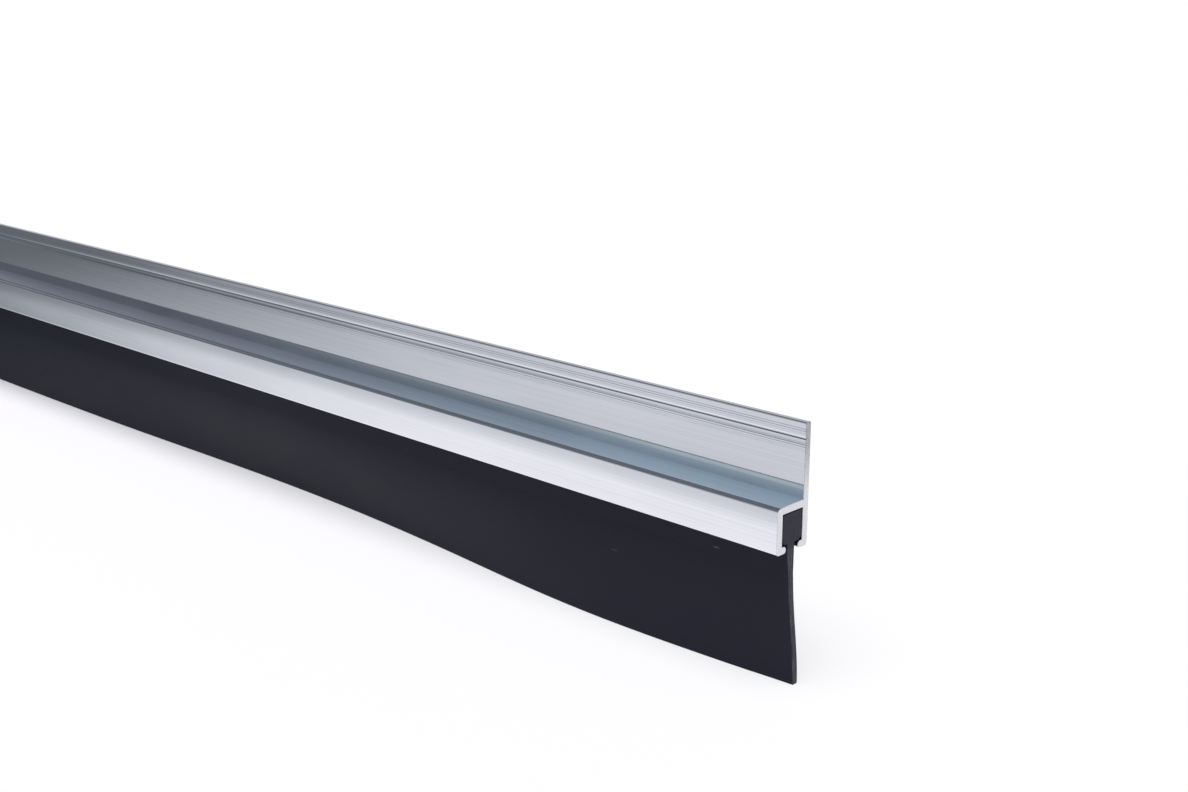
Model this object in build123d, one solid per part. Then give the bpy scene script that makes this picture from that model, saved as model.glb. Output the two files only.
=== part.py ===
from build123d import *
import math
import os

# Garage door seal: an aluminium carrier strip that is screwed to the foot of a door,
# and a rubber blade whose head slides along the carrier's channel.
# Millimetres. X runs along the strip, with the cut end that shows its section at +X.
# Y runs from the front to the back, Z is up. The origin is the centre of the carrier's back face.

# Whole strip
LENGTH = 1000.0

# Carrier plate, the upright flange that lies against the door
PLATE_HEIGHT = 25.0
PLATE_THICKNESS = 1.5
PLATE_EDGE_RADIUS = 0.3

# Carrier channel, the box at the plate's foot that is open below
CHANNEL_WALL = 1.6
CHANNEL_ROOF = 1.6
ROOF_FALL = 0.15
CAVITY_WIDTH = 6.3
CAVITY_HEIGHT = 6.6
LIP_THICKNESS = 1.5
LIP_REACH = 1.3
LIP_ROUND_SHARE = 0.49
CHANNEL_CORNER_RADIUS = 0.8
INSIDE_CORNER_RADIUS = 0.2

# Drill line and the fine flutes above and below it, on the plate's front face
GROOVE_DROP = 3.3
GROOVE_WIDTH = 0.5
GROOVE_DEPTH = 0.25
FLUTE_GAP = 1.05
FLUTE_PITCH = 0.45
FLUTE_WIDTH = 0.14
FLUTE_DEPTH = 0.05
UPPER_FLUTES = 3
LOWER_FLUTES = 4

# Room left for the rubber to slide
HEAD_CLEARANCE = 0.2
SEAT_CLEARANCE = 0.2
NECK_CLEARANCE = 0.4

# Rubber blade, whose neck tapers on its front side only
HEAD_EDGE_RADIUS = 0.3
SHOULDER_CHAMFER = 0.8
NECK_TAPER = 5.0
BLADE_THICKNESS = 1.5
BLADE_DROP = 28.85
HEM_EDGE_RADIUS = 0.3

# Wave of the blade's hem: how far it stands behind the head's middle.
# A steady lean, one dip near the cut end and one bulge further along.
HEM_LEAN = 3.2
HEM_DIP = 3.4
HEM_DIP_AT = 53.0
HEM_DIP_SPREAD = 50.0
HEM_BULGE = 2.5
HEM_BULGE_AT = 169.5
HEM_BULGE_SPREAD = 72.0
WAVE_STEP = 25.0

# Worked out from the sizes above
PLATE_TOP = PLATE_HEIGHT / 2
PLATE_FOOT = -PLATE_HEIGHT / 2
CHANNEL_DEPTH = CAVITY_WIDTH + 2 * CHANNEL_WALL
CHANNEL_HEIGHT = LIP_THICKNESS + CAVITY_HEIGHT + CHANNEL_ROOF
CHANNEL_TOP = PLATE_FOOT + CHANNEL_HEIGHT
ROOF_FRONT = CHANNEL_TOP - ROOF_FALL
CAVITY_FLOOR = PLATE_FOOT + LIP_THICKNESS
CAVITY_MIDDLE = -CHANNEL_DEPTH / 2
SLOT_WIDTH = CAVITY_WIDTH - 2 * LIP_REACH
LIP_ROUND = LIP_ROUND_SHARE * LIP_THICKNESS
HEAD_WIDTH = CAVITY_WIDTH - 2 * HEAD_CLEARANCE
HEAD_HEIGHT = CAVITY_HEIGHT - SEAT_CLEARANCE - HEAD_CLEARANCE
HEAD_SEAT = CAVITY_FLOOR + SEAT_CLEARANCE
NECK_FRONT = CAVITY_MIDDLE - SLOT_WIDTH / 2 + NECK_CLEARANCE
BLADE_FRONT = CAVITY_MIDDLE - BLADE_THICKNESS / 2
BLADE_BACK = CAVITY_MIDDLE + BLADE_THICKNESS / 2
BLADE_TOP = PLATE_FOOT - NECK_TAPER
BLADE_FOOT = PLATE_FOOT - BLADE_DROP


def rectangle(back, front, low, high):
    """Rectangle in the section's plane, between two depths and two heights."""
    return Pos((back + front) / 2, (low + high) / 2) * Rectangle(abs(back - front), high - low)


def corners(section, places):
    """The section's vertices nearest to the given (depth, height) places."""
    return [min(section.vertices(), key=lambda v: math.dist((v.X, v.Y), place)) for place in places]


def vee(drop, width, depth):
    """Notch with sloping sides in the plate's front face, its middle at a drop below the plate's top."""
    face = -PLATE_THICKNESS
    height = PLATE_TOP - drop
    return make_face(
        Polyline((face, height - width / 2), (face + depth, height), (face, height + width / 2), close=True)
    )


def plate_notches():
    """Drill line, with a band of fine flutes on each side of it."""
    notches = vee(GROOVE_DROP, GROOVE_WIDTH, GROOVE_DEPTH)
    for row in range(UPPER_FLUTES):
        notches += vee(GROOVE_DROP - FLUTE_GAP - row * FLUTE_PITCH, FLUTE_WIDTH, FLUTE_DEPTH)
    for row in range(LOWER_FLUTES):
        notches += vee(GROOVE_DROP + FLUTE_GAP + row * FLUTE_PITCH, FLUTE_WIDTH, FLUTE_DEPTH)
    return notches


def channel_block():
    """Block that the channel is cut into, whose roof falls a little from the plate to the front."""
    return make_face(
        Polyline(
            (0, PLATE_FOOT),
            (-CHANNEL_DEPTH, PLATE_FOOT),
            (-CHANNEL_DEPTH, ROOF_FRONT),
            (-PLATE_THICKNESS, CHANNEL_TOP),
            (0, CHANNEL_TOP),
            close=True,
        )
    )


def carrier_section():
    """Cross-section of the extrusion: plate, channel and the two lips beside the slot."""
    section = rectangle(0, -PLATE_THICKNESS, PLATE_FOOT, PLATE_TOP)
    section += channel_block()
    cavity_back = CAVITY_MIDDLE + CAVITY_WIDTH / 2
    cavity_front = CAVITY_MIDDLE - CAVITY_WIDTH / 2
    section -= rectangle(cavity_back, cavity_front, CAVITY_FLOOR, CAVITY_FLOOR + CAVITY_HEIGHT)
    slot_back = CAVITY_MIDDLE + SLOT_WIDTH / 2
    slot_front = CAVITY_MIDDLE - SLOT_WIDTH / 2
    section -= rectangle(slot_back, slot_front, PLATE_FOOT, CAVITY_FLOOR)

    lip_tips = [(side, level) for side in (slot_back, slot_front) for level in (PLATE_FOOT, CAVITY_FLOOR)]
    section = fillet(corners(section, lip_tips), LIP_ROUND)
    outer = [(-CHANNEL_DEPTH, ROOF_FRONT), (-CHANNEL_DEPTH, PLATE_FOOT), (0, PLATE_FOOT)]
    section = fillet(corners(section, outer), CHANNEL_CORNER_RADIUS)
    section = fillet(corners(section, [(0, PLATE_TOP), (-PLATE_THICKNESS, PLATE_TOP)]), PLATE_EDGE_RADIUS)
    section = fillet(corners(section, [(-PLATE_THICKNESS, CHANNEL_TOP)]), INSIDE_CORNER_RADIUS)
    return section - plate_notches()


def along_strip(section):
    """Extrusion of a section over the strip's whole length."""
    return extrude(Plane.YZ.offset(-LENGTH / 2) * section, LENGTH)


def head_section():
    """Cross-section of the blade's head, with its shoulders and the neck that leaves the slot."""
    head = rectangle(
        CAVITY_MIDDLE + HEAD_WIDTH / 2, CAVITY_MIDDLE - HEAD_WIDTH / 2, HEAD_SEAT, HEAD_SEAT + HEAD_HEIGHT
    )
    sides = (CAVITY_MIDDLE - HEAD_WIDTH / 2, CAVITY_MIDDLE + HEAD_WIDTH / 2)
    head = fillet(corners(head, [(side, HEAD_SEAT + HEAD_HEIGHT) for side in sides]), HEAD_EDGE_RADIUS)
    head = chamfer(corners(head, [(side, HEAD_SEAT) for side in sides]), SHOULDER_CHAMFER)
    neck = make_face(
        Polyline(
            (NECK_FRONT, HEAD_SEAT),
            (NECK_FRONT, PLATE_FOOT),
            (BLADE_FRONT, BLADE_TOP),
            (BLADE_BACK, BLADE_TOP),
            (BLADE_BACK, HEAD_SEAT),
            close=True,
        )
    )
    return head + neck


def hem_offset(from_end):
    """How far the hem stands behind the head's middle, at a distance from the cut end."""
    dip = HEM_DIP * math.exp(-(((from_end - HEM_DIP_AT) / HEM_DIP_SPREAD) ** 2))
    bulge = HEM_BULGE * math.exp(-(((from_end - HEM_BULGE_AT) / HEM_BULGE_SPREAD) ** 2))
    return HEM_LEAN - dip + bulge


def blade_side(offset, depth):
    """One side of the blade's section: it leaves the neck straight down and swings to the hem's offset."""
    third = (BLADE_TOP - BLADE_FOOT) / 3
    return Bezier(
        (depth, BLADE_TOP),
        (depth, BLADE_TOP - third),
        (depth + offset, BLADE_FOOT + third),
        (depth + offset, BLADE_FOOT),
    )


def blade_section(from_end):
    """Cross-section of the blade at a distance from the cut end, with its hem's edges rounded."""
    offset = hem_offset(from_end)
    front = blade_side(offset, BLADE_FRONT)
    back = blade_side(offset, BLADE_BACK)
    outline = [front, Line(front @ 1, back @ 1), back, Line(back @ 0, front @ 0)]
    section = make_face(outline)
    hem = [tuple(side @ 1)[:2] for side in (front, back)]
    return fillet(corners(section, hem), HEM_EDGE_RADIUS)


def wavy_blade():
    """Blade lofted through its sections along the strip."""
    steps = max(2, round(LENGTH / WAVE_STEP))
    distances = [LENGTH * step / steps for step in range(steps + 1)]
    return loft([Plane.YZ.offset(LENGTH / 2 - s) * blade_section(s) for s in distances])


def rubber_blade():
    """Head, neck and wavy blade as one moulding."""
    return along_strip(head_section()) + wavy_blade()


def main():
    os.makedirs("parts", exist_ok=True)
    export_step(along_strip(carrier_section()), "parts/aluminium_carrier.step")
    export_step(rubber_blade(), "parts/rubber_blade.step")


main()
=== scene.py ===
import math
import random

import bmesh
import bpy
from mathutils import Matrix, Vector


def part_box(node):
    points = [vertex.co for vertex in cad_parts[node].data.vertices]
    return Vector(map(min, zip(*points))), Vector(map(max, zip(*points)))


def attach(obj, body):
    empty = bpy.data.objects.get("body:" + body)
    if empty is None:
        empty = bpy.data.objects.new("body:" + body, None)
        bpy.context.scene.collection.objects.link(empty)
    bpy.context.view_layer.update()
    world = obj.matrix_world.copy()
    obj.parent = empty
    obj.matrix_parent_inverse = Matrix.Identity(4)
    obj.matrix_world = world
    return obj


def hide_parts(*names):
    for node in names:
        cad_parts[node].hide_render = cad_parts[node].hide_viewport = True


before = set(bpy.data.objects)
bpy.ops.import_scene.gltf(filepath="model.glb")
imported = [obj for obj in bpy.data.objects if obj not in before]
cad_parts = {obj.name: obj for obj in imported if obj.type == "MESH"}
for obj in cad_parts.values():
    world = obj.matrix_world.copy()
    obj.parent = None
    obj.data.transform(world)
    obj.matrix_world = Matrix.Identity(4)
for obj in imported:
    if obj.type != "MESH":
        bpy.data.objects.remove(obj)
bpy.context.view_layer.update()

# Garage door seal: an aluminium carrier strip with a rubber blade that slides along its channel.
# Sizes are in millimetres, in the model's frame: X along the strip with the cut end at +X,
# Y from front to back, Z up, the origin at the centre of the carrier's back face.
MM = 0.001

# Sizes of the strip, read from the frame
carrier_low, carrier_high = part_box("aluminium_carrier")
blade_low, blade_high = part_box("rubber_blade")
NEAR_END = carrier_high.x / MM
FAR_END = carrier_low.x / MM
PLATE_TOP = carrier_high.z / MM
PLATE_FOOT = carrier_low.z / MM
CHANNEL_DEPTH = -carrier_low.y / MM
HEAD_TOP = blade_high.z / MM
BLADE_FOOT = blade_low.z / MM

# Carrier section
PLATE_THICKNESS = 1.5
PLATE_EDGE_RADIUS = 0.3
CHANNEL_WALL = 1.6
CHANNEL_ROOF = 1.6
CHANNEL_HEIGHT = 9.7
CHANNEL_CORNER_RADIUS = 0.8
INSIDE_CORNER_RADIUS = 0.03
LIP_THICKNESS = 1.5
LIP_REACH = 1.3
LIP_ROUND_SHARE = 0.49
LIP_ROUND = LIP_ROUND_SHARE * LIP_THICKNESS
CAVITY_MIDDLE = -CHANNEL_DEPTH / 2
CAVITY_WIDTH = CHANNEL_DEPTH - 2 * CHANNEL_WALL
CAVITY_FLOOR = PLATE_FOOT + LIP_THICKNESS
CHANNEL_TOP = PLATE_FOOT + CHANNEL_HEIGHT
SLOT_WIDTH = CAVITY_WIDTH - 2 * LIP_REACH

# Channel roof from the plate to its rounded front edge, as stretches.
# Each has a run, and the slopes in degrees that it starts and ends with.
ROOF_STRETCHES = ((4.1, 0.3, 0.8), (2.6, 0.8, 3.0), (0.8, 3.0, 16.0), (0.42, 16.0, 50.0))
ROOF_STEPS = 6

# Drill line in its shallow dish, and the fine flutes on both sides of it, as shares of the full flute
GROOVE_DROP = 3.3
GROOVE_WIDTH = 0.43
GROOVE_DEPTH = 0.2
DISH_UPPER_RUN = 0.8
DISH_UPPER_DEPTH = 0.05
DISH_LOWER_RUN = 0.88
DISH_LOWER_DEPTH = 0.04
DISH_STEPS = 8
UPPER_FLUTE_GAP = 1.05
LOWER_FLUTE_GAP = 1.2
FLUTE_PITCH = 0.45
FLUTE_WIDTH = 0.14
FLUTE_DEPTH = 0.05
UPPER_FLUTE_SHARES = (0.3, 0.8, 0.8)
LOWER_FLUTE_SHARES = (1.2, 0.9, 0.3, 0.3)

# Rubber section
HEAD_CLEARANCE = 0.2
SEAT_CLEARANCE = 0.2
NECK_CLEARANCE = 0.4
HEAD_EDGE_RADIUS = 0.3
SHOULDER_CHAMFER = 0.8
NECK_TAPER = 5.0
BLADE_THICKNESS = 1.5
HEM_EDGE_RADIUS = 0.3
HEAD_WIDTH = CAVITY_WIDTH - 2 * HEAD_CLEARANCE
HEAD_SEAT = CAVITY_FLOOR + SEAT_CLEARANCE
NECK_FRONT = CAVITY_MIDDLE - SLOT_WIDTH / 2 + NECK_CLEARANCE
BLADE_TOP = PLATE_FOOT - NECK_TAPER

# Wave of the hem: how far it stands behind the head's middle, along the strip from the cut end
HEM_LEAN = 3.2
HEM_DIP = 3.4
HEM_DIP_AT = 53.0
HEM_DIP_SPREAD = 50.0
HEM_BULGE = 2.5
HEM_BULGE_AT = 169.5
HEM_BULGE_SPREAD = 72.0

# Curl of the blade to the back, close to the cut end
END_CURL = 0.4
END_CURL_SPREAD = 9.0

# Mesh detail
ARC_STEPS = 16
SIDE_STEPS = 36
CARRIER_STEP = 20.0
BLADE_STEP = 5.0
SAWN_BEVEL = 0.07
SAWN_RAGGED = 0.02
SMOOTH_BELOW = math.radians(30)

# Which material of a piece its faces have
SIDES = 0
CUT_ENDS = 1

# Materials: noise cells in millimetres along X, Y and Z, bump depths in millimetres,
# and pairs of colours or numbers that a noise runs between
NOISE_MIDDLE = (0.38, 0.62)
METAL_DIE_LINES = (300, 0.5, 0.5)
METAL_DIE_LINE_DEPTH = 0.0005
METAL_FINE_LINES = (60, 0.15, 0.15)
METAL_FINE_LINE_DEPTH = 0.0002
METAL_CLOUDS = (14, 5, 5)
METAL_ROUGHNESS = (0.045, 0.08)
METAL_STREAK_COLOURS = ((0.77, 0.78, 0.855), (0.83, 0.84, 0.915))
METAL_PATCHES = (45, 9, 9)
METAL_PATCH_EDGES = (0.45, 0.65)
METAL_PATCH_COLOUR = (0.84, 0.85, 0.925)

SAWN_MARKS = (1, 1.6, 0.12)
SAWN_GRAIN = (0.4, 0.4, 0.4)
SAWN_DEPTH = 0.02
SAWN_ROUGHNESS = (0.35, 0.6)
SAWN_PALE = ((0.70, 0.72, 0.80), (0.98, 0.98, 1.0))
SAWN_GREY = ((0.34, 0.34, 0.38), (0.66, 0.66, 0.70))
SAWN_PALE_UP_TO = CHANNEL_TOP + 1
SAWN_GREY_FROM = CHANNEL_TOP + 11

RUBBER_LINES = (80, 0.6, 0.6)
RUBBER_LINE_DEPTH = 0.004
RUBBER_CLOUDS = (40, 16, 16)
RUBBER_ROUGHNESS = (0.55, 0.62)
RUBBER_COLOURS = ((0.0122, 0.0134, 0.0240), (0.0140, 0.0152, 0.0268))
RUBBER_GLOSS = 0.12

CUT_SPECKS = (0.35, 0.35, 0.35)
CUT_SPECK_DEPTH = 0.03
CUT_DRAG_MARKS = (1, 0.35, 4)
CUT_DRAG_DEPTH = 0.04
CUT_ROUGHNESS = (0.55, 0.75)
CUT_BLADE_COLOURS = ((0.022, 0.025, 0.033), (0.068, 0.073, 0.09))
CUT_HEAD_COLOURS = ((0.012, 0.013, 0.022), (0.038, 0.041, 0.058))
CUT_GLOSS = 0.3

# Scuffs on the rubber: place, half sizes and strength
SCUFFS = (
    ((NEAR_END - 18.0, CAVITY_MIDDLE, PLATE_TOP - 28.8), (1.0, 3.0, 0.22), 0.9),
    ((NEAR_END - 46.2, CAVITY_MIDDLE, PLATE_TOP - 37.0), (1.2, 3.0, 0.2), 0.35),
)
SCUFF_COLOUR = (0.1, 0.1, 0.11)
SCUFF_CORE = 0.5

# Pale floor, with a glow that paints light into its shadow, a painted falloff of light and a painted shadow
# of the strip in what the metal mirrors of it, and the soft light from above
FLOOR_HALF = 60000.0
FLOOR_COLOUR = (0.81, 0.83, 0.94)
FLOOR_SHADE = (0.985, 0.99, 1.0)
# Share of the floor's glow, which paints light into its shadow, from the far end to the cut end
FLOOR_GLOW = (0.1, 0.7)
FLOOR_GLOW_ALONG = (NEAR_END - 320.0, NEAR_END)
BACKDROP = (1.0, 1.0, 1.0)
# Colours of the floor as the metal mirrors it and where its painted falloff of light is lowest, then the
# edges and lowest strengths of that painted falloff
MIRRORED = (0.985, 0.98, 0.965)
FADED = (0.92, 1.0, 1.075)
FADE_ALONG = (NEAR_END - 580.0, NEAR_END - 140.0)
FADE_ALONG_TO = 0.22
FADE_BACK_UP = (NEAR_END - 680.0, NEAR_END - 1000.0)
FADE_ACROSS = (-92.0, -82.0)
FADE_ACROSS_TO = 0.72
FADE_FRONT = (-230.0, -150.0)
FADE_FRONT_TO = 0.75
FADE_FAR_FRONT = (-340.0, -270.0)
FADE_FAR_FRONT_TO = 0.3
# Painted shadow of the strip in what the metal mirrors of the floor: its edges across, and its lowest
# strength, deeper towards the far end
PAINTED_STRIP_SHADOW = (-66.0, -82.0)
PAINTED_STRIP_SHADOW_TO = 0.6
BEHIND_STRIP = (0.0, 40.0)
BEHIND_STRENGTH = 1.0
SUN_FROM = Vector((0.1, -0.25, 0.95))
SUN_SPREAD = math.radians(45)
SUN_STRENGTH = 3.5
SUN_COLOUR = (1.0, 0.94, 0.86)

# Surroundings in front, near and towards the far end, as colours by the direction's rise over its run,
# and behind, as one colour up to a height
SKY_NEAR = (
    (0.0, (0.11, 0.13, 0.15)),
    (0.24, (0.12, 0.145, 0.165)),
    (0.30, (0.48, 0.57, 0.56)),
    (0.36, (0.48, 0.57, 0.56)),
    (0.41, (0.20, 0.27, 0.31)),
    (0.43, (0.17, 0.24, 0.28)),
    (0.455, (0.36, 0.47, 0.505)),
    (0.5, (0.35, 0.455, 0.495)),
    (0.6, (0.45, 0.54, 0.57)),
    (0.75, (0.45, 0.54, 0.57)),
    (1.0, (0.13, 0.14, 0.155)),
)
SKY_FAR = (
    (0.0, (0.13, 0.14, 0.16)),
    (0.43, (0.11, 0.12, 0.135)),
    (0.465, (0.22, 0.233, 0.25)),
    (0.6, (0.235, 0.25, 0.27)),
    (1.0, (0.13, 0.14, 0.155)),
)
SKY_BACK = ((0.45, (0.54, 0.53, 0.56)), (0.62, (0.13, 0.14, 0.155)))
SKY_FAR_TO_NEAR = (-0.84, -0.62)
SKY_FRONT_TO_BACK = (-0.1, 0.2)

# Soft light overhead as the metal mirrors it: its colour, and the edges of its fade along X and in height
SOFTBOX = (0.84, 0.84, 0.86)
SOFTBOX_ALONG = (0.5, 0.3)
SOFTBOX_HEIGHT = (0.55, 0.8)

# Camera, placed from the plate's upper back corner at the cut end
IMAGE_WIDTH = 1188
FOCAL_PIXELS = 1600
SENSOR_WIDTH = 36.0
CAMERA_FROM_CORNER = Vector((173.4, -237.9, 86.1))
CAMERA_HEADING = math.radians(44.15)
CAMERA_PITCH = math.radians(15.56)
CLIP_NEAR = 10.0
CLIP_FAR = 200000.0


def hem_offset(from_end):
    """How far the hem stands behind the head's middle, at a distance from the cut end."""
    dip = HEM_DIP * math.exp(-(((from_end - HEM_DIP_AT) / HEM_DIP_SPREAD) ** 2))
    bulge = HEM_BULGE * math.exp(-(((from_end - HEM_BULGE_AT) / HEM_BULGE_SPREAD) ** 2))
    return HEM_LEAN - dip + bulge


def end_curl(from_end):
    """How far the hem curls to the back, at a distance from the cut end."""
    return END_CURL * math.exp(-((from_end / END_CURL_SPREAD) ** 2))


def rounded(corners):
    """Closed outline through (depth, height, radius) corners, with an arc where there is a radius."""
    points = []
    for index, (depth, height, radius) in enumerate(corners):
        corner = Vector((depth, height))
        if not radius:
            points.append(corner)
            continue
        before = Vector(corners[index - 1][:2]) - corner
        after = Vector(corners[(index + 1) % len(corners)][:2]) - corner
        before.normalize()
        after.normalize()
        half = before.angle(after) / 2
        centre = corner + (before + after).normalized() * radius / math.sin(half)
        start = corner + before * radius / math.tan(half) - centre
        sweep = start.angle_signed(corner + after * radius / math.tan(half) - centre)
        for step in range(ARC_STEPS + 1):
            points.append(centre + Matrix.Rotation(-sweep * step / ARC_STEPS, 2) @ start)
    return points


def drill_line():
    """Corners of the drill line and the dish that it lies in, from the lowest to the highest."""
    face = -PLATE_THICKNESS
    middle = PLATE_TOP - GROOVE_DROP
    shares = [step / DISH_STEPS for step in range(DISH_STEPS + 1)]
    corners = []
    for share in shares:
        rest = 1 - share
        height = middle - GROOVE_WIDTH / 2 - DISH_LOWER_RUN * rest
        corners.append((face + DISH_LOWER_DEPTH * (1 - rest**2), height, 0))
    corners.append((face + GROOVE_DEPTH, middle, 0))
    for share in shares:
        height = middle + GROOVE_WIDTH / 2 + DISH_UPPER_RUN * share
        corners.append((face + DISH_UPPER_DEPTH * (1 - share) ** 2, height, 0))
    return corners


def flute(drop, share):
    """Corners of one flute at a drop below the plate's top, from its lower edge to its upper edge."""
    face = -PLATE_THICKNESS
    height = PLATE_TOP - drop
    half = share * FLUTE_WIDTH / 2
    return [(face, height - half, 0), (face + share * FLUTE_DEPTH, height, 0), (face, height + half, 0)]


def plate_notches():
    """Corners of the flutes and the drill line, from the lowest to the highest."""
    corners = []
    for row, share in reversed(list(enumerate(LOWER_FLUTE_SHARES))):
        corners += flute(GROOVE_DROP + LOWER_FLUTE_GAP + row * FLUTE_PITCH, share)
    corners += drill_line()
    for row, share in enumerate(UPPER_FLUTE_SHARES):
        corners += flute(GROOVE_DROP - UPPER_FLUTE_GAP - row * FLUTE_PITCH, share)
    return corners


def channel_roof():
    """Corners over the channel, from its front wall to the plate: a rounded edge and an almost level roof."""
    place = Vector((-PLATE_THICKNESS, CHANNEL_TOP))
    points = []
    for run, first, last in ROOF_STRETCHES:
        for step in range(ROOF_STEPS):
            slope = math.radians(first + (last - first) * (step + 0.5) / ROOF_STEPS)
            place = place + run / ROOF_STEPS * Vector((-1, -math.tan(slope)))
            points.append(place)
    turned = math.radians(last)
    radius = (place.x + CHANNEL_DEPTH) / (1 - math.sin(turned))
    centre = place + radius * Vector((math.sin(turned), -math.cos(turned)))
    for step in range(1, ARC_STEPS + 1):
        turn = turned + (math.pi / 2 - turned) * step / ARC_STEPS
        points.append(centre + radius * Vector((-math.sin(turn), math.cos(turn))))
    return [(depth, height, 0) for depth, height in reversed(points)]


def carrier_outline():
    """Outline of the extrusion's section, as (depth, height) points."""
    cavity_back = CAVITY_MIDDLE + CAVITY_WIDTH / 2
    cavity_front = CAVITY_MIDDLE - CAVITY_WIDTH / 2
    cavity_roof = CHANNEL_TOP - CHANNEL_ROOF
    slot_back = CAVITY_MIDDLE + SLOT_WIDTH / 2
    slot_front = CAVITY_MIDDLE - SLOT_WIDTH / 2
    corners = [
        (0, PLATE_TOP, PLATE_EDGE_RADIUS),
        (0, PLATE_FOOT, CHANNEL_CORNER_RADIUS),
        (slot_back, PLATE_FOOT, LIP_ROUND),
        (slot_back, CAVITY_FLOOR, LIP_ROUND),
        (cavity_back, CAVITY_FLOOR, 0),
        (cavity_back, cavity_roof, 0),
        (cavity_front, cavity_roof, 0),
        (cavity_front, CAVITY_FLOOR, 0),
        (slot_front, CAVITY_FLOOR, LIP_ROUND),
        (slot_front, PLATE_FOOT, LIP_ROUND),
        (-CHANNEL_DEPTH, PLATE_FOOT, CHANNEL_CORNER_RADIUS),
        *channel_roof(),
        (-PLATE_THICKNESS, CHANNEL_TOP, INSIDE_CORNER_RADIUS),
        *plate_notches(),
        (-PLATE_THICKNESS, PLATE_TOP, PLATE_EDGE_RADIUS),
    ]
    return rounded(corners)


def blade_side(offset, curl, edge):
    """Points down one side of the blade, from the neck's taper to just above the hem's rounding."""
    top = CAVITY_MIDDLE + edge * BLADE_THICKNESS / 2
    lowest = BLADE_FOOT + HEM_EDGE_RADIUS
    points = []
    for step in range(SIDE_STEPS + 1):
        height = BLADE_TOP + (lowest - BLADE_TOP) * step / SIDE_STEPS
        share = (BLADE_TOP - height) / (BLADE_TOP - BLADE_FOOT)
        swing = share * share * (3 - 2 * share)
        points.append(Vector((top + offset * swing + curl * math.sqrt(share), height)))
    return points


def hem_arc(offset, edge):
    """Points of the hem's rounded edge on one side, from the side to the underside."""
    outer = CAVITY_MIDDLE + offset + edge * BLADE_THICKNESS / 2
    centre = Vector((outer - edge * HEM_EDGE_RADIUS, BLADE_FOOT + HEM_EDGE_RADIUS))
    turns = [math.pi / 2 * step / ARC_STEPS for step in range(1, ARC_STEPS + 1)]
    return [centre + HEM_EDGE_RADIUS * Vector((edge * math.cos(t), -math.sin(t))) for t in turns]


def blade_outline(from_end):
    """Outline of the rubber's section at a distance from the cut end, as (depth, height) points."""
    offset = hem_offset(from_end)
    curl = end_curl(from_end)
    back = CAVITY_MIDDLE + HEAD_WIDTH / 2
    front = CAVITY_MIDDLE - HEAD_WIDTH / 2
    head = rounded(
        [
            (front + SHOULDER_CHAMFER, HEAD_SEAT, 0),
            (front, HEAD_SEAT + SHOULDER_CHAMFER, 0),
            (front, HEAD_TOP, HEAD_EDGE_RADIUS),
            (back, HEAD_TOP, HEAD_EDGE_RADIUS),
            (back, HEAD_SEAT + SHOULDER_CHAMFER, 0),
            (back - SHOULDER_CHAMFER, HEAD_SEAT, 0),
        ]
    )
    neck_back = [Vector((CAVITY_MIDDLE + BLADE_THICKNESS / 2, HEAD_SEAT))]
    neck_front = [Vector((NECK_FRONT, height)) for height in (PLATE_FOOT, HEAD_SEAT)]
    down = blade_side(offset, curl, 1) + hem_arc(offset + curl, 1)
    up = blade_side(offset, curl, -1) + hem_arc(offset + curl, -1)
    return head + neck_back + down + up[::-1] + neck_front


def shrunk(outline, inset):
    """The outline moved inwards by an inset, point by point, along the mean of its two edges' normals."""
    moved = []
    for index, point in enumerate(outline):
        before = (point - outline[index - 1]).normalized()
        after = (outline[(index + 1) % len(outline)] - point).normalized()
        along = (before + after).normalized()
        moved.append(point + inset * Vector((-along.y, along.x)))
    return moved


def turns_left(outline):
    """Whether the outline runs anticlockwise."""
    return sum(a.cross(b) for a, b in zip(outline, outline[1:] + outline[:1])) > 0


def stations(step):
    """Distances from the cut end at which the section is drawn: the two ends, and between their bevels."""
    length = NEAR_END - FAR_END
    count = max(1, round(length / step))
    inner = [SAWN_BEVEL + (length - 2 * SAWN_BEVEL) * index / count for index in range(count + 1)]
    return [0.0, *inner, length]


def strip_mesh(name, section, step, seed, soft):
    """Closed mesh of a section drawn along the strip, with its two cut ends bevelled and a little ragged.

    A soft strip is shaded smooth. A hard one keeps flat faces, so that its planes mirror as planes do,
    and its arcs are fine enough to look round."""
    rng = random.Random(seed)
    distances = stations(step)
    mesh = bmesh.new()
    rings = []
    for index, distance in enumerate(distances):
        outline = section(distance)
        if not turns_left(outline):
            outline = outline[::-1]
        if index in (0, len(distances) - 1):
            outline = shrunk(outline, SAWN_BEVEL)
        rim = index in (1, len(distances) - 2)
        ring = []
        for depth, height in outline:
            ragged = rng.uniform(-SAWN_RAGGED, SAWN_RAGGED) if rim else 0.0
            ring.append(mesh.verts.new(Vector((NEAR_END - distance + ragged, depth, height)) * MM))
        rings.append(ring)
    for place, (near, far) in enumerate(zip(rings, rings[1:])):
        for index in range(len(near)):
            quad = (near[index - 1], near[index], far[index], far[index - 1])
            face = mesh.faces.new(quad)
            face.material_index = CUT_ENDS if place in (0, len(rings) - 2) else SIDES
    for cap in (rings[0][::-1], rings[-1]):
        mesh.faces.new(cap).material_index = CUT_ENDS
    bmesh.ops.recalc_face_normals(mesh, faces=mesh.faces)
    data = bpy.data.meshes.new(name)
    mesh.to_mesh(data)
    mesh.free()
    if soft:
        data.shade_smooth()
        data.set_sharp_from_angle(angle=SMOOTH_BELOW)
    piece = bpy.data.objects.new(name, data)
    bpy.context.scene.collection.objects.link(piece)
    return piece


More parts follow.
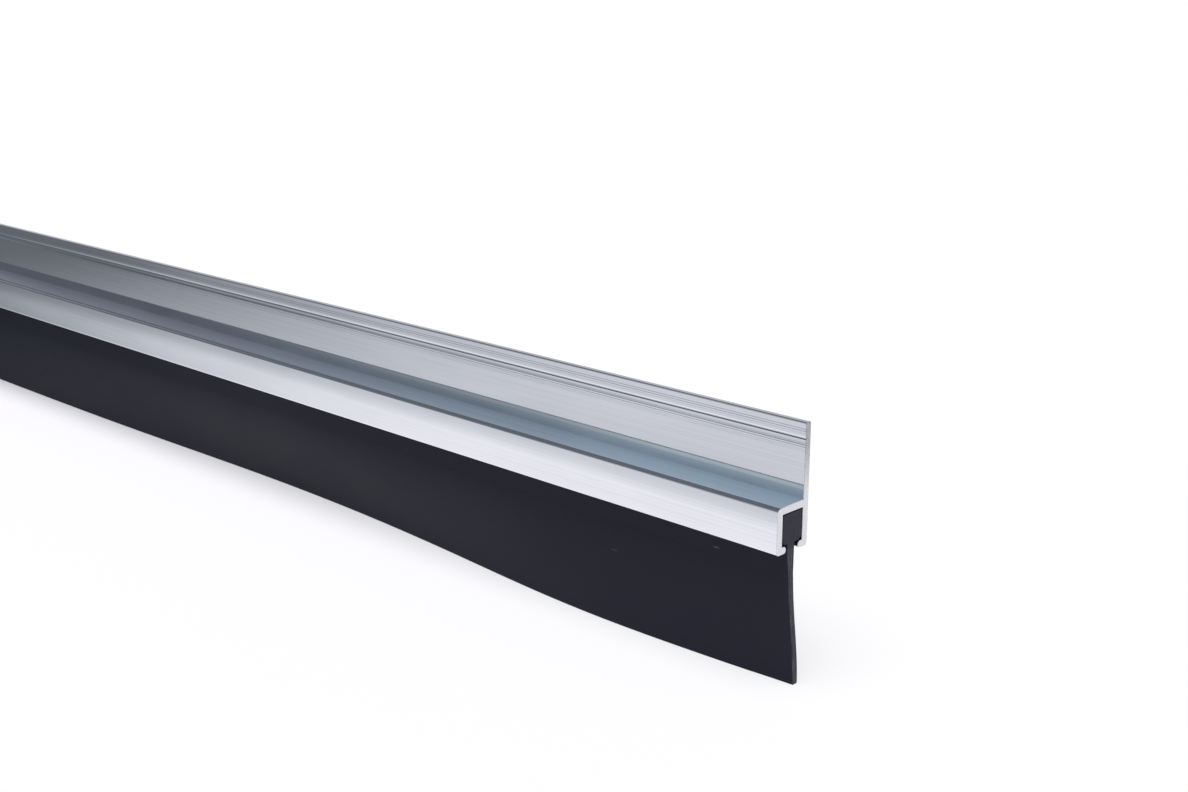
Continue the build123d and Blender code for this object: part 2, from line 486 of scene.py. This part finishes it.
def node(tree, kind, settings=None, inputs=None):
    """Adds a node. An input is keyed by its name or number, and is a value or another node's output."""
    made = tree.nodes.new(kind)
    for key, value in (settings or {}).items():
        setattr(made, key, value)
    for key, value in (inputs or {}).items():
        if isinstance(value, bpy.types.NodeSocket):
            tree.links.new(value, made.inputs[key])
        else:
            made.inputs[key].default_value = value
    return made


def math_node(tree, operation, first, second):
    """Sum, product or other operation on two numbers."""
    return node(tree, "ShaderNodeMath", {"operation": operation}, {0: first, 1: second}).outputs[0]


def vector_node(tree, operation, first, second):
    """Sum, product or other operation on two vectors."""
    return node(tree, "ShaderNodeVectorMath", {"operation": operation}, {0: first, 1: second}).outputs[0]


def coordinates(tree):
    """Places in the model's frame, in metres."""
    return node(tree, "ShaderNodeTexCoord").outputs["Object"]


def stretched(tree, place, size):
    """Places counted in cells of the given size, in millimetres along X, Y and Z."""
    return vector_node(tree, "MULTIPLY", place, [1 / (side * MM) for side in size])


def noise(tree, size, detail=3.0, roughness=0.55):
    """Noise between 0 and 1 whose cells have the given size, in millimetres."""
    place = stretched(tree, coordinates(tree), size)
    inputs = {"Vector": place, "Scale": 1.0, "Detail": detail, "Roughness": roughness}
    return node(tree, "ShaderNodeTexNoise", None, inputs).outputs[0]


def between(tree, value, low, high, start=0.3, end=0.7):
    """A value spread from one number to another."""
    inputs = {"Value": value, "From Min": start, "From Max": end, "To Min": low, "To Max": high}
    return node(tree, "ShaderNodeMapRange", None, inputs).outputs[0]


def fade(tree, value, edges, lowest):
    """A strength that rises smoothly from its lowest to 1 between two edges, in millimetres."""
    start, end = (edge * MM for edge in edges)
    inputs = {"Value": value, "From Min": start, "From Max": end, "To Min": lowest, "To Max": 1.0}
    return node(tree, "ShaderNodeMapRange", {"interpolation_type": "SMOOTHSTEP"}, inputs).outputs[0]


def stronger(tree, value):
    """Noise with its middle spread over the whole of 0 to 1."""
    return between(tree, value, 0.0, 1.0, *NOISE_MIDDLE)


def spot(tree, place, half_size, strength):
    """A mark: its strength in its core at a place in millimetres, falling to 0 at its half sizes."""
    from_place = vector_node(tree, "SUBTRACT", coordinates(tree), [part * MM for part in place])
    scaled = stretched(tree, from_place, half_size)
    distance = node(tree, "ShaderNodeVectorMath", {"operation": "LENGTH"}, {0: scaled}).outputs["Value"]
    return between(tree, distance, strength, 0.0, SCUFF_CORE, 1.0)


def tint(tree, value, dark, light):
    """A colour between two colours, by a value. A colour is three numbers or another node's output."""
    dark, light = (c if isinstance(c, bpy.types.NodeSocket) else (*c, 1) for c in (dark, light))
    return node(tree, "ShaderNodeMix", {"data_type": "RGBA"}, {0: value, 6: dark, 7: light}).outputs[2]


def blend(tree, value, low, high):
    """A number between two numbers, by a value. A number may be another node's output."""
    return node(tree, "ShaderNodeMix", {"data_type": "FLOAT"}, {0: value, 2: low, 3: high}).outputs[0]


def ramp(tree, value, stops):
    """A colour that runs through (place, colour) stops, by a value."""
    made = node(tree, "ShaderNodeValToRGB", None, {"Fac": value})
    elements = made.color_ramp.elements
    while len(elements) < len(stops):
        elements.new(1.0)
    for element, (place, colour) in zip(elements, stops):
        element.position = place
        element.color = (*colour, 1)
    return made.outputs["Color"]


def bump(tree, height, depth, under=None):
    """Normal of a height field whose full height is a depth in millimetres."""
    inputs = {"Height": height, "Strength": 1.0, "Distance": depth * MM}
    if under is not None:
        inputs["Normal"] = under
    return node(tree, "ShaderNodeBump", None, inputs).outputs[0]


def new_material(name, **constants):
    """Material with a Principled shader; constants are set on the shader's own sockets."""
    material = bpy.data.materials.new(name)
    material.use_nodes = True
    shader = material.node_tree.nodes["Principled BSDF"]
    for key, value in constants.items():
        shader.inputs[key.replace("_", " ")].default_value = value
    return material, material.node_tree, shader


def feed(tree, shader, colour, roughness, normal):
    """Links a material's colour, roughness and normal to its shader."""
    tree.links.new(colour, shader.inputs["Base Color"])
    tree.links.new(roughness, shader.inputs["Roughness"])
    tree.links.new(normal, shader.inputs["Normal"])


def mill_aluminium():
    """Bright extruded aluminium: die lines along the strip, a faint cloudiness and an almost mirror gloss."""
    material, tree, shader = new_material("mill_aluminium", Metallic=1.0)
    die_lines = noise(tree, METAL_DIE_LINES, detail=4)
    fine_lines = noise(tree, METAL_FINE_LINES, detail=2)
    cloud = noise(tree, METAL_CLOUDS, detail=3)
    patches = noise(tree, METAL_PATCHES, detail=2)
    streaks = tint(tree, stronger(tree, die_lines), *METAL_STREAK_COLOURS)
    paler = between(tree, patches, 0.0, 1.0, *METAL_PATCH_EDGES)
    colour = tint(tree, paler, streaks, METAL_PATCH_COLOUR)
    roughness = between(tree, cloud, *METAL_ROUGHNESS)
    lines = bump(tree, die_lines, METAL_DIE_LINE_DEPTH)
    feed(tree, shader, colour, roughness, bump(tree, fine_lines, METAL_FINE_LINE_DEPTH, lines))
    return material


def sawn_aluminium():
    """Sawn end of the extrusion: paler, with fine saw marks and grain, and greyer towards the plate's top."""
    material, tree, shader = new_material("sawn_aluminium", Metallic=1.0)
    marks = noise(tree, SAWN_MARKS, detail=4)
    grain = stronger(tree, noise(tree, SAWN_GRAIN, detail=4))
    height = node(tree, "ShaderNodeSeparateXYZ", None, {0: coordinates(tree)}).outputs["Z"]
    upper = between(tree, height, 0.0, 1.0, SAWN_PALE_UP_TO * MM, SAWN_GREY_FROM * MM)
    pale = tint(tree, grain, *SAWN_PALE)
    grey = tint(tree, grain, *SAWN_GREY)
    lines = bump(tree, marks, SAWN_DEPTH)
    normal = bump(tree, grain, SAWN_DEPTH, lines)
    feed(tree, shader, tint(tree, upper, pale, grey), between(tree, grain, *SAWN_ROUGHNESS), normal)
    return material


def black_rubber():
    """Extruded rubber: near black and satin, with soft lines along the strip and a few pale scuffs."""
    material, tree, shader = new_material("black_rubber", Specular_IOR_Level=RUBBER_GLOSS)
    lines = noise(tree, RUBBER_LINES, detail=3)
    cloud = noise(tree, RUBBER_CLOUDS, detail=3)
    colour = tint(tree, cloud, *RUBBER_COLOURS)
    for place, half_size, strength in SCUFFS:
        colour = tint(tree, spot(tree, place, half_size, strength), colour, SCUFF_COLOUR)
    roughness = between(tree, cloud, *RUBBER_ROUGHNESS)
    feed(tree, shader, colour, roughness, bump(tree, lines, RUBBER_LINE_DEPTH))
    return material


def cut_rubber():
    """Cut end of the rubber: a shade paler and matt, with specks and drag marks of the knife."""
    material, tree, shader = new_material("cut_rubber", Specular_IOR_Level=CUT_GLOSS)
    specks = stronger(tree, noise(tree, CUT_SPECKS, detail=4))
    drag = stronger(tree, noise(tree, CUT_DRAG_MARKS, detail=3))
    height = node(tree, "ShaderNodeSeparateXYZ", None, {0: coordinates(tree)}).outputs["Z"]
    head = between(tree, height, 0.0, 1.0, PLATE_FOOT * MM, HEAD_SEAT * MM)
    blade_face = tint(tree, drag, *CUT_BLADE_COLOURS)
    head_face = tint(tree, specks, *CUT_HEAD_COLOURS)
    lines = bump(tree, drag, CUT_DRAG_DEPTH)
    normal = bump(tree, specks, CUT_SPECK_DEPTH, lines)
    feed(tree, shader, tint(tree, head, blade_face, head_face), between(tree, specks, *CUT_ROUGHNESS), normal)
    return material


def dress(piece, body, node_name, slot, *materials):
    """Gives a piece its materials, and lets it ride on a body in place of its CAD node."""
    for material in materials:
        piece.data.materials.append(material)
    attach(piece, body)
    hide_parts(node_name)


def floor_material():
    """Pale floor: white where it is looked at, with part of its own shading left for the shadow, and a glow
    over that shading which paints light into the shadow, more towards the cut end.

    What the metal mirrors of it is a glow with a painted falloff of light to the front and along the strip,
    away from the cut end, where a painted shadow of the strip also darkens it close to the strip. Behind the
    strip it is even."""
    material = bpy.data.materials.new("pale_floor")
    material.use_nodes = True
    tree = material.node_tree
    tree.nodes.clear()
    place = node(tree, "ShaderNodeSeparateXYZ", None, {0: coordinates(tree)}).outputs
    # Painted falloff of light in what the metal mirrors of the floor: along the strip, across, to the front
    # and far to the front
    near = fade(tree, place["X"], FADE_ALONG, FADE_ALONG_TO)
    far = fade(tree, place["X"], FADE_BACK_UP, FADE_ALONG_TO)
    along = math_node(tree, "MAXIMUM", near, far)
    across = fade(tree, place["Y"], FADE_ACROSS, FADE_ACROSS_TO)
    front = fade(tree, place["Y"], FADE_FRONT, FADE_FRONT_TO)
    far_front = fade(tree, place["Y"], FADE_FAR_FRONT, FADE_FAR_FRONT_TO)
    # Painted shadow of the strip in the mirrored floor, deeper towards the far end
    strip = fade(tree, place["Y"], PAINTED_STRIP_SHADOW, PAINTED_STRIP_SHADOW_TO)
    strip = blend(tree, along, strip, 1.0)
    path = node(tree, "ShaderNodeLightPath").outputs
    mirrored = math_node(tree, "MAXIMUM", path["Is Glossy Ray"], path["Is Transmission Ray"])
    left = along
    for shade in (across, front, far_front, strip):
        left = math_node(tree, "MULTIPLY", left, shade)
    left = blend(tree, fade(tree, place["Y"], BEHIND_STRIP, 0.0), left, BEHIND_STRENGTH)
    strength = blend(tree, mirrored, 1.0, left)
    # Glow that paints light into the floor's shadow, stronger towards the cut end
    painted_glow_share = between(tree, place["X"], *FLOOR_GLOW, *(edge * MM for edge in FLOOR_GLOW_ALONG))
    seen = math_node(tree, "MULTIPLY", path["Is Camera Ray"], painted_glow_share)
    share = math_node(tree, "MAXIMUM", seen, mirrored)
    matt = node(tree, "ShaderNodeBsdfDiffuse", None, {"Color": (*FLOOR_COLOUR, 1)}).outputs[0]
    colour = tint(tree, mirrored, FLOOR_SHADE, tint(tree, left, FADED, MIRRORED))
    glow = node(tree, "ShaderNodeEmission", None, {"Color": colour, "Strength": strength}).outputs[0]
    mixed = node(tree, "ShaderNodeMixShader", None, {0: share, 1: matt, 2: glow}).outputs[0]
    node(tree, "ShaderNodeOutputMaterial", None, {"Surface": mixed})
    return material


def build_floor():
    """Level floor under the blade's hem."""
    data = bpy.data.meshes.new("floor")
    signs = ((-1, -1), (1, -1), (1, 1), (-1, 1))
    data.from_pydata(
        [Vector((x * FLOOR_HALF, y * FLOOR_HALF, BLADE_FOOT)) * MM for x, y in signs], [], [(0, 1, 2, 3)]
    )
    data.materials.append(floor_material())
    floor = bpy.data.objects.new("floor", data)
    bpy.context.scene.collection.objects.link(floor)


def build_world():
    """Dim surroundings with pale, cool bands above the horizon, white where they are looked at.

    In place of the lamp, the metal mirrors a soft light overhead."""
    world = bpy.data.worlds.new("surroundings")
    bpy.context.scene.world = world
    world.use_nodes = True
    tree = world.node_tree
    tree.nodes.clear()
    direction = node(tree, "ShaderNodeTexCoord").outputs["Generated"]
    place = node(tree, "ShaderNodeSeparateXYZ", None, {0: direction}).outputs
    run = math_node(tree, "MULTIPLY", place["Y"], -1.0)
    rise = math_node(tree, "DIVIDE", place["Z"], run)
    near = ramp(tree, rise, SKY_NEAR)
    far = ramp(tree, rise, SKY_FAR)
    back = ramp(tree, place["Z"], SKY_BACK)
    around = tint(tree, between(tree, place["X"], 0.0, 1.0, *SKY_FAR_TO_NEAR), far, near)
    around = tint(tree, between(tree, place["Y"], 0.0, 1.0, *SKY_FRONT_TO_BACK), around, back)
    path = node(tree, "ShaderNodeLightPath").outputs
    overhead = between(tree, math_node(tree, "ABSOLUTE", place["X"], 0.0), 0.0, 1.0, *SOFTBOX_ALONG)
    overhead = math_node(tree, "MULTIPLY", overhead, between(tree, place["Z"], 0.0, 1.0, *SOFTBOX_HEIGHT))
    overhead = math_node(tree, "MULTIPLY", overhead, path["Is Glossy Ray"])
    around = tint(tree, overhead, around, SOFTBOX)
    colour = tint(tree, path["Is Camera Ray"], around, BACKDROP)
    glow = node(tree, "ShaderNodeBackground", None, {"Color": colour, "Strength": 1.0}).outputs[0]
    node(tree, "ShaderNodeOutputWorld", None, {"Surface": glow})


def build_sun():
    """Soft light from above, a little to the front, which the metal doesn't mirror."""
    data = bpy.data.lights.new("key", "SUN")
    data.energy = SUN_STRENGTH
    data.color = SUN_COLOUR
    data.angle = SUN_SPREAD
    sun = bpy.data.objects.new("key", data)
    sun.rotation_euler = (-SUN_FROM).to_track_quat("-Z", "Y").to_euler()
    sun.visible_glossy = False
    bpy.context.scene.collection.objects.link(sun)


def build_camera():
    """Camera at the photograph's place and angle."""
    data = bpy.data.cameras.new("camera")
    data.sensor_width = SENSOR_WIDTH
    data.lens = FOCAL_PIXELS * SENSOR_WIDTH / IMAGE_WIDTH
    data.clip_start = CLIP_NEAR * MM
    data.clip_end = CLIP_FAR * MM
    camera = bpy.data.objects.new("camera", data)
    corner = Vector((NEAR_END, 0, PLATE_TOP))
    camera.location = (corner + CAMERA_FROM_CORNER) * MM
    camera.rotation_euler = (math.pi / 2 - CAMERA_PITCH, 0, CAMERA_HEADING)
    bpy.context.scene.collection.objects.link(camera)
    bpy.context.scene.camera = camera


carrier = strip_mesh("carrier_strip", lambda from_end: carrier_outline(), CARRIER_STEP, seed=1, soft=False)
dress(carrier, "carrier", "aluminium_carrier", "mill_aluminium", mill_aluminium(), sawn_aluminium())
blade = strip_mesh("blade_strip", blade_outline, BLADE_STEP, seed=2, soft=True)
dress(blade, "blade", "rubber_blade", "black_rubber", black_rubber(), cut_rubber())

build_floor()
build_world()
build_sun()
build_camera()
bpy.context.scene.view_settings.view_transform = "Standard"
